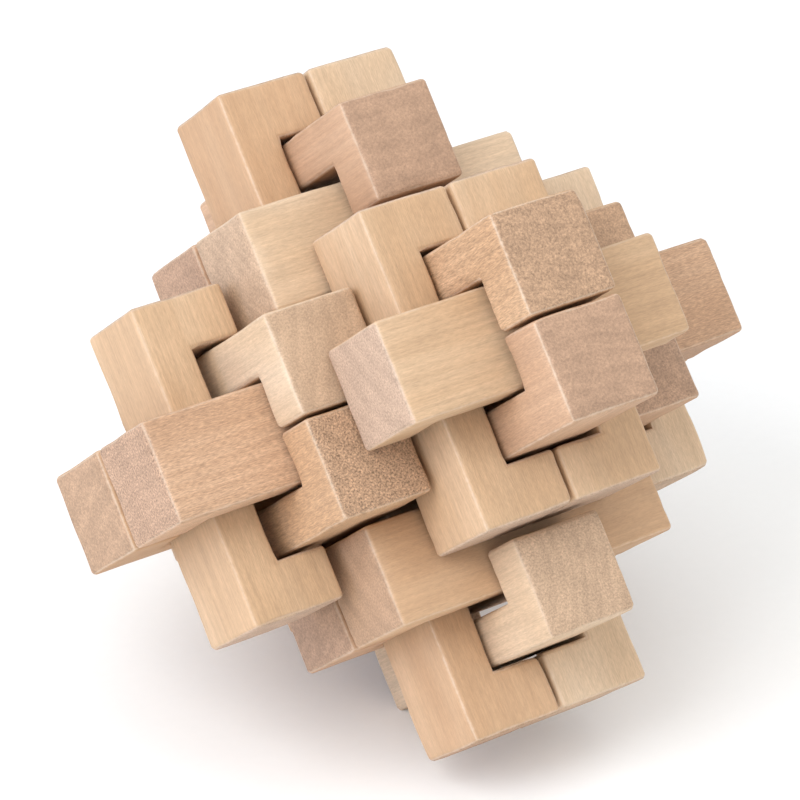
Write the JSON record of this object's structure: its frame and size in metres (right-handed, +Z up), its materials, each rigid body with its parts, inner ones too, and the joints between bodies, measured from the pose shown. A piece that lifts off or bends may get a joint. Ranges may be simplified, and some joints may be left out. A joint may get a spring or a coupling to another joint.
{
  "type": "wooden stick burr puzzle",
  "caption": "Interlocking burr puzzle of notched square beech sticks crossing along three axes, opened by sliding out two key sticks.",
  "frame": {"origin": "on the surface that the burr rests on, below the middle of its bounding box", "axes": "+X along the sticks that run left to right; +Y away from the front, +Z up; the other two stick directions lean back 44.4 degrees about X, which is how the burr rests on two of its sticks"},
  "size_m": [0.0692, 0.064, 0.0636],
  "materials": {
    "pale_beech": "bare, sanded satin",
    "honey_beech": "bare, sanded satin",
    "tan_beech": "bare, sanded satin",
    "rose_beech": "bare, sanded satin"
  },
  "bodies": {
    "locked_sticks": {"long_x_front": "rose_beech", "long_x_back": "tan_beech", "long_y_upper": "tan_beech", "long_y_lower": "rose_beech", "long_z_left": "tan_beech", "long_z_right": "pale_beech", "short_x_upper_front": "pale_beech", "short_x_upper_back": "rose_beech", "short_x_lower_front": "tan_beech", "short_x_lower_back": "rose_beech", "short_y_left_upper": "pale_beech", "short_y_left_lower": "tan_beech", "short_y_right_upper": "tan_beech", "short_y_right_lower": "rose_beech", "short_z_front_left": "honey_beech", "short_z_front_right": "honey_beech", "short_z_back_left": "tan_beech", "short_z_back_right": "tan_beech", "outer_x_back": "pale_beech", "outer_y_lower": "pale_beech", "outer_z_left": "honey_beech", "outer_z_right": "pale_beech"},
    "front_key": {"key_x_front": "honey_beech"},
    "upper_key": {"key_y_upper": "rose_beech"}
  },
  "joints": [
    {"name": "front_key_slide", "type": "slide", "parent": "locked_sticks", "child": "front_key", "axis": [-1, 0, 0], "range_m": [0, 0.028]},
    {"name": "upper_key_slide", "type": "slide", "parent": "locked_sticks", "child": "upper_key", "axis": [0, -0.7151, 0.6991], "range_m": [0, 0.028]}
  ]
}
